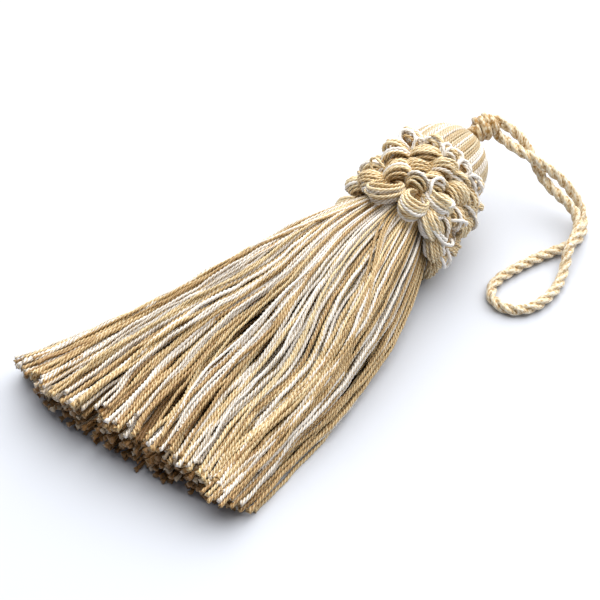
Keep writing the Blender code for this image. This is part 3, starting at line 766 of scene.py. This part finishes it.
def loop_lines(along, turn, lean, spin, size, crown, yarns, depth, stretch=1.0, back=0.0,
               gap=RING_GAP):
    """The lines of one ring of a bundle, on the axis: its yarns lie side by side over the
    crest, the middle ones highest, and come together at both ends. depth is how deep its
    base lies, and back sets it back from the mouth."""
    out = np.array([0.0, cos(turn), sin(turn)])
    forward = np.array([1.0, 0.0, 0.0])
    sideways = np.cross(out, forward)
    forward, sideways = (forward * cos(spin) + sideways * sin(spin),
                         sideways * cos(spin) - forward * sin(spin))
    forward, out = forward * cos(lean) - out * sin(lean), out * cos(lean) + forward * sin(lean)
    base = round_axis(along, ruff_radius(along) - depth, turn)
    phase = np.linspace(-LOOP_ENDS, LOOP_ENDS, round(LOOP_RUN * size / gap))
    squash = stretch * chance.uniform(*LOOP_SQUASH)
    skew = give_or_take(LOOP_SKEW)
    twist = chance.uniform(*LOOP_TWIST) * MM
    lines = []
    for k in range(yarns):
        place = (k + 0.5) / yarns * 2 - 1
        ring = size * (1 - crown * place ** 2) * (1 + give_or_take(0.03))
        uneven = sum(give_or_take(0.035) * np.sin(n * phase + chance.uniform(0, 6))
                     for n in (1, 2, 3))
        loose = chance.random() < LOOSE_SHARE
        ring = ring * (1 + uneven + LOOSE_SHARE * loose)
        shift = (place * yarns * RUFF_YARN_GAP / 2 + give_or_take(0.13) * MM
                 + twist * phase / pi)
        pinch = 1 - LOOP_PINCH * (np.abs(phase) / pi) ** 1.2
        height = squash * (np.cos(phase) + 0.9)
        lines.append(base + sideways * (ring * (np.sin(phase) + skew * height))[:, None]
                     + out * (ring * height)[:, None]
                     + forward * (shift * pinch + back)[:, None])
    return np.array(lines)


ruff_bundles = []  # lines of a bundle, which of its yarns are ivory, does it show, its tone


def add_loop(along, turn, lean, spin, size, crown, colours, stretch=1.0, rings=2,
             stands=LOOP_STANDS, shows=True, tone=0.0):
    """A bundle: its outer yarns in their colours, and rings of yarn deeper inside."""
    turn, lean, spin, size = radians(turn), radians(lean), radians(spin), size * MM
    depth = 1.8 * size * stretch * cos(lean) + RUFF_YARN_RADIUS - stands
    gap = RING_GAP * (1.0 if shows else HIDDEN_COARSER)
    lines = loop_lines(along * MM, turn, lean, spin, size, crown, len(colours), depth,
                       stretch, gap=gap)
    ruff_bundles.append((lines, [c == "i" for c in colours], shows,
                         tone + give_or_take(0.08)))
    inward = 1 if lean > radians(-25) else -1
    for ring, share in enumerate(INNER_RINGS[:rings if shows else 1]):
        yarns = len(colours) - 2 - 2 * ring
        if yarns > 1:
            lines = loop_lines(along * MM, turn, lean + give_or_take(0.15),
                               spin + give_or_take(0.3), size * share, crown, yarns,
                               depth - INNER_RISE * size * (1 - share), stretch,
                               inward * (ring + 1) * INNER_BACK, gap * HIDDEN_COARSER)
            ruff_bundles.append((lines, list(chance.random(yarns) < INNER_IVORY), shows,
                                 tone + INNER_PAINTED_SHADE * (ring + 1)))


for along, turn, lean, spin, size, crown, colours, *form in SHOWING_LOOPS:
    uneven = 0.0 if lean < DROOPING_LEAN else 1.0
    pressed = smooth_rise(turn, PRESSED_FROM, PRESSED_TO)
    add_loop(along, turn, lean + uneven * give_or_take(7),
             spin + uneven * give_or_take(12), size * chance.uniform(0.95, 1.06),
             crown + chance.uniform(-0.06, 0.08), colours, *form,
             stands=between((LOOP_STANDS, PRESSED_STANDS), pressed))
for row, (along, loops, lean) in enumerate(HIDDEN_ROWS):
    for k in range(loops):
        turn = (360 * (k + (0.5 if row % 2 else 0.0)) / loops + give_or_take(4)) % 360
        if SHOWING_FROM < turn < SHOWING_TO:
            continue
        yarns = 6 if along < 8 else 4
        colours = "".join("i" if chance.random() < (0.5 if n == 0 else 0.2) else "g"
                          for n in range(yarns))
        add_loop(along + give_or_take(0.7), turn, lean + give_or_take(15),
                 chance.uniform(-25, 30), (2.7 if along < 8 else 2.1) * chance.uniform(0.9, 1.1),
                 chance.uniform(0.22, 0.45), colours, stands=HIDDEN_STANDS, shows=False)
for _ in range(FILLER_LOOPS):
    add_loop(chance.uniform(-7.5, 8.5), chance.uniform(0, 360), give_or_take(20),
             chance.uniform(-40, 50), chance.uniform(1.8, 2.4), 0.3,
             "".join(chance.choice(("g", "i"), 3, p=(0.7, 0.3))), stands=FILLER_STANDS,
             shows=False, tone=FILLER_PAINTED_SHADE)
for colour, stands, route in RUFF_STRANDS:
    route = np.array(route, float)
    turns = np.radians(route[:, 1])
    far_out = ruff_radius(route[:, 0] * MM) / MM + stands
    far_out[[0, -1]] -= STRAND_ENDS_DIP
    line = smooth_route(round_axis(route[:, 0], far_out, turns))
    line = even_line(line, round(distances(line)[-1] / RING_GAP) + 1)
    ruff_bundles.append((line[None], [colour == "ivory"], True, 0.1))
# The same silky viscose as in the skirt, drawn lighter: painted light against the shade that the
# loops cast on each other.
ruff_gold_yarn_painted_lighter = yarn_finish("ruff_yarn_gold_viscose_painted_lighter", "#aa7e40", "#edd29e", "#fbf0d4",
                             roughness=0.42)
# The same dull cotton as in the skirt, drawn a little whiter: painted light against the loops'
# shade.
ruff_ivory_yarn_painted_lighter = yarn_finish("ruff_yarn_ivory_cotton_painted_lighter", "#c2b09a", "#f8f3eb", "#fdfaf6",
                              roughness=0.6)


def ruff_piece(name, kinds, radius, material):
    """One piece of the ruff: the yarns of these kinds, each (is it ivory, does it show)."""
    by_rings = {}
    for lines, colours, shows, tone in ruff_bundles:
        picked = [k for k, is_ivory in enumerate(colours) if (bool(is_ivory), shows) in kinds]
        lines_here, tones = by_rings.setdefault(lines.shape[1], ([], []))
        lines_here.extend(lines[picked])
        # Each yarn's own tone, give or take, is set high overall as painted light for the ruff's
        # shaded loops.
        tones.extend(tone + chance.uniform(-0.12, 0.24, len(picked)))
    parts = []
    for lines, tones in by_rings.values():
        if lines:
            lines = on_axis(np.array(lines))
            keep_above(lines, RUFF_YARN_RADIUS * 1.02)
            vertices, far = laid_yarns(lines, radius, RUFF_YARN_LAY, groove=0.66, uneven=0.04)
            keep_above(vertices, CLEAR_OF_TABLE)
            parts.append((vertices, far, np.array(tones)))
    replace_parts(yarn_mesh(name, parts, material), "ruff")


ruff_piece("ruff_loops_gold_front", ((False, True),), RUFF_YARN_RADIUS, ruff_gold_yarn_painted_lighter)
ruff_piece("ruff_loops_gold_back", ((False, False),), RUFF_YARN_RADIUS, ruff_gold_yarn_painted_lighter)
ruff_piece("ruff_loops_ivory", ((True, True), (True, False)), RUFF_IVORY_RADIUS, ruff_ivory_yarn_painted_lighter)

# The band under the loops, on which they are sewn: yarn wound round the head.
BAND_TURNS = 22
BAND_STEPS = 24  # mesh rings in a turn
BAND_PLACE = (-7.0, 9.0)  # mm along the tassel
BAND_DEPTH = 2.2 * MM  # below the ruff's body
BAND_LEAST_RADIUS = 10.4 * MM  # just outside the mould
BAND_YARN_RADIUS = 0.42 * MM
# The band is painted darker: painted shade under the loops.
BAND_PAINTED_SHADE = -0.3
band_turns = np.linspace(0, BAND_TURNS * 2 * pi, BAND_TURNS * BAND_STEPS + 1)
band_places = np.linspace(*BAND_PLACE, len(band_turns)) * MM
band_radius = np.maximum(ruff_radius(band_places) - BAND_DEPTH, BAND_LEAST_RADIUS)
band_line = on_axis(round_axis(band_places, band_radius, band_turns))
band_vertices, band_far = laid_yarns(band_line[None], BAND_YARN_RADIUS, RUFF_YARN_LAY)
ruff_band = yarn_mesh("ruff_band", [(band_vertices, band_far, np.array([BAND_PAINTED_SHADE]))],
                      ruff_gold_yarn_painted_lighter)
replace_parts(ruff_band, "ruff")

# ---- Head ----
# A round mould wound lengthwise with fine yarn, gold with bands of ivory, drawn together at
# the neck under the knot. The first two sections are inside the ruff.
HEAD_SECTIONS = ((-4.0, 10.3), (2.0, 10.3), (8.0, 10.3), (11.5, 10.3), (14.5, 9.9),
                 (17.0, 8.9), (19.1, 7.2), (20.7, 5.3), (21.8, 3.6), (22.6, 2.4))
HEAD_MOULD_DEPTH = 0.45  # mm, of the mould's surface under the yarns' outside
HEAD_YARNS = 104
HEAD_RINGS = 52
HEAD_YARN_LAY = -2.6 * MM
HEAD_YARN_THIN, HEAD_YARN_THICK = 0.2 * MM, 0.46 * MM  # radius at the neck and elsewhere
HEAD_YARN_FULLNESS = 1.45  # yarns are pressed into their neighbours by this
HEAD_SINKING = 2.5  # how far a yarn sinks at the neck, for each mm of room that it lacks
HEAD_TWIST = 0.4 / (22 * MM)  # radians in a metre along the head
HEAD_GOLD_RUNS, HEAD_IVORY_RUNS = (1, 7), (1, 4)  # yarns side by side, from, to less 1
HEAD_SHADES = (-0.22, 0.2)
head_line = smooth_route([(a, 0.0, r) for a, r in HEAD_SECTIONS[2:]])
head_line = even_line(head_line, HEAD_RINGS)
head_order = np.arange(HEAD_YARNS)
head_turns = 2 * pi * (head_order + give_or_take(0.2, HEAD_YARNS)) / HEAD_YARNS
head_room = pi * head_line[:, 2] / HEAD_YARNS  # half of the width for each yarn
head_radius = np.clip(head_room * HEAD_YARN_FULLNESS, HEAD_YARN_THIN, HEAD_YARN_THICK)
# At the neck, where there is no room for all, each third yarn sinks in.
head_sink = (head_order % 3 == 0)[:, None] * np.clip(
    HEAD_YARN_THIN - head_room, 0, 1) * HEAD_SINKING + head_radius
head_out = head_line[:, 2] - head_sink + give_or_take(0.05, (HEAD_YARNS, 1)) * MM
head_twist = head_turns[:, None] + HEAD_TWIST * head_line[:, 0]
head_lines = on_axis(round_axis(head_line[:, 0], head_out, head_twist))
head_ivory = np.zeros(HEAD_YARNS, bool)
place = 0
while place < HEAD_YARNS:
    place += int(chance.integers(*HEAD_GOLD_RUNS))
    run = int(chance.integers(*HEAD_IVORY_RUNS))
    head_ivory[place:place + run] = True
    place += run
# Finer viscose, wound tight: pale gold, smooth and shiny, with hardly a groove in it. Its colour
# is drawn a little darker than it is, as painted shade, for the head faces the light.
head_gold_yarn_painted_darker = yarn_finish("head_yarn_gold_viscose_painted_darker", "#aa8a58", "#c2ad88", "#dbcfb5",
                             ply_light_and_shade=0.2, roughness=0.4)
for name, chosen, material in (("head_yarns_gold", ~head_ivory, head_gold_yarn_painted_darker),
                               ("head_yarns_ivory", head_ivory, ivory_yarn)):
    head_vertices, head_far = laid_yarns(head_lines[chosen], head_radius, HEAD_YARN_LAY)
    head_shade = chance.uniform(*HEAD_SHADES, chosen.sum())
    head_piece = yarn_mesh(name, [(head_vertices, head_far, head_shade)], material)
    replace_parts(head_piece, "head")

# The mould, which the yarns hide but for the gaps between them.
bpy.ops.object.select_all(action='DESELECT')
bpy.ops.mesh.primitive_uv_sphere_add(segments=48, ring_count=len(HEAD_SECTIONS) + 1)
head_core = bpy.context.active_object
head_core.name = "head_core"
core_rows = [(HEAD_SECTIONS[0][0], 0.0), *((a, r - HEAD_MOULD_DEPTH) for a, r in HEAD_SECTIONS),
             (HEAD_SECTIONS[-1][0], 0.0)]
for vertex in head_core.data.vertices:
    x, y, z = vertex.co
    row = round((np.arcsin(np.clip(z, -1, 1)) / pi + 0.5) * (len(core_rows) - 1))
    turn = np.arctan2(y, x)
    along, radius = core_rows[row]
    vertex.co = on_axis(round_axis(along, radius, turn) * MM)
head_core.data.uv_layers[0].name = "yarn_uv"
head_core.data.materials.append(head_gold_yarn_painted_darker)
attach(head_core, "root")
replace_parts(head_core, "head")

# ---- Knot ----
# The doubled cord, tied off against the neck of the head: its rope turns round the neck,
# and its two runs come out side by side. It is of the cord's own rope, drawn a little darker.
KNOT_CENTRE = np.array((29.4, 1.1, 19.0)) * MM
KNOT_TURN = radians(-25)
KNOT_FRAME = np.array(Matrix.Rotation(KNOT_TURN, 3, 'Z') @ Matrix.Rotation(-AXIS_PITCH, 3, 'Y'))
KNOT_TURNS = 2.4
KNOT_START = 0.3  # of a turn
KNOT_SPAN = (-2.4, 2.2)  # mm along it
KNOT_COIL_RADIUS = 1.95  # mm at its middle, and at its ends less by KNOT_TAPER
KNOT_TAPER = 0.5
KNOT_SHADE = -0.16
knot_share = np.linspace(0, 1, 60)
knot_turns = 2 * pi * (KNOT_TURNS * knot_share + KNOT_START)
knot_radius = (KNOT_COIL_RADIUS - KNOT_TAPER * np.abs(2 * knot_share - 1) ** 3) * MM
knot_coil = KNOT_CENTRE + round_axis(between(KNOT_SPAN, knot_share) * MM, knot_radius,
                                     knot_turns) @ KNOT_FRAME.T
upper_run = smooth_route([(33.3, -1.3, 19.1), (32.9, -0.5, 19.5), (32.0, 0.3, 19.8),
                          (30.6, 1.0, 19.6)])
lower_run = smooth_route([(31.3, -2.5, 16.8), (31.3, -1.4, 17.4), (30.9, -0.2, 18.1),
                          (30.0, 0.8, 18.7)])
neck_run = smooth_route([(24.4, 2.5, 17.4), (25.8, 2.5, 17.9), (27.4, 2.0, 18.5),
                         (28.8, 1.4, 18.8)])
knot_parts = []
for line, diameter in ((knot_coil, 2.7 * MM), (upper_run, CORD_DIAMETER),
                       (lower_run, CORD_DIAMETER), (neck_run, 3.3 * MM)):
    vertices, far, _, shade = rope(line, diameter)
    knot_parts.append((vertices, far, shade + KNOT_SHADE))
knot = yarn_mesh("knot_rope", knot_parts, cord_yarn)
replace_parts(knot, "knot")

# ---- Table and light ----
# A pale table under one large soft light, above the tassel and beyond its head, with a pale
# room round it that fills the shadows a little.
bpy.ops.object.select_all(action='DESELECT')
TABLE_SIZE = 6.0  # m
LIGHT_PLACE = Vector((0.42, 0.08, 0.86))
LIGHT_AIM = Vector((-0.02, 0.0, 0.0))
LIGHT_SIZE = 2.0  # m across
LIGHT_POWER = 34.0  # W
ROOM_STRENGTH = 0.14
bpy.ops.mesh.primitive_plane_add(size=TABLE_SIZE, location=(0.0, 0.0, 0.0))
table = bpy.context.active_object
table.name = "table_top"
# Matt white card, which gives the eye an even pale ground with no gloss and no grain.
table_white = bpy.data.materials.new("table_white_card")
table_white.use_nodes = True
table_shader = table_white.node_tree.nodes["Principled BSDF"]
table_shader.inputs["Base Color"].default_value = linear("#cbcfd8")
table_shader.inputs["Roughness"].default_value = 0.6
table.data.materials.append(table_white)
soft_light = bpy.data.lights.new("soft_light_above", 'AREA')
soft_light.shape = 'DISK'
soft_light.size = LIGHT_SIZE
soft_light.energy = LIGHT_POWER
soft_light.color = linear("#fffefb")[:3]
lamp = bpy.data.objects.new("soft_light_above", soft_light)
lamp.location = LIGHT_PLACE
lamp.rotation_euler = (LIGHT_AIM - LIGHT_PLACE).to_track_quat('-Z', 'Y').to_euler()
bpy.context.scene.collection.objects.link(lamp)
room = bpy.data.worlds.new("room")
room.use_nodes = True
room.node_tree.nodes["Background"].inputs["Color"].default_value = linear("#eef2ff")
room.node_tree.nodes["Background"].inputs["Strength"].default_value = ROOM_STRENGTH
bpy.context.scene.world = room
bpy.context.scene.view_settings.view_transform = 'Standard'
